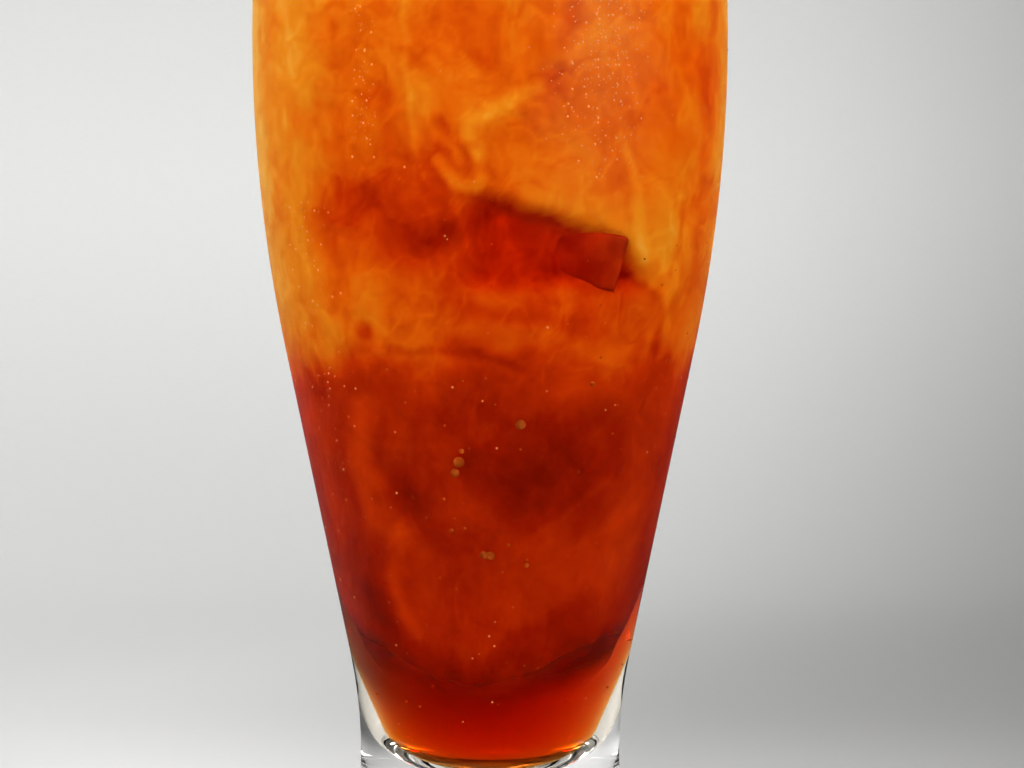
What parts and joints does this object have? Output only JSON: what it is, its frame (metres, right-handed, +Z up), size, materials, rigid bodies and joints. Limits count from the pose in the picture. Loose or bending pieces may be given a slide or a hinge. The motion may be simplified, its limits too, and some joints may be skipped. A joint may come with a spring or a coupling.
{
  "type": "thai iced tea",
  "caption": "Iced tea in a tall footed glass: clear red tea at the bottom, tea clouded orange with milk above, and ice cubes at the rim.",
  "frame": {"origin": "centre of the foot, on the surface that the glass stands on", "axes": "+Z up along the axis of the glass; -Y towards the viewer"},
  "size_m": [0.078, 0.078, 0.192],
  "materials": {
    "glass": "clear, polished",
    "red_tea": "clear deep red liquid",
    "milky_tea": "cloudy orange liquid with paler swirls of milk",
    "ice": "wet, melted smooth"
  },
  "bodies": {
    "root": {"glass": "glass", "red_tea": "red_tea", "milky_tea": "milky_tea", "ice_cube_1": "ice", "ice_cube_2": "ice", "ice_cube_3": "ice", "ice_cube_4": "ice"}
  },
  "joints": []
}
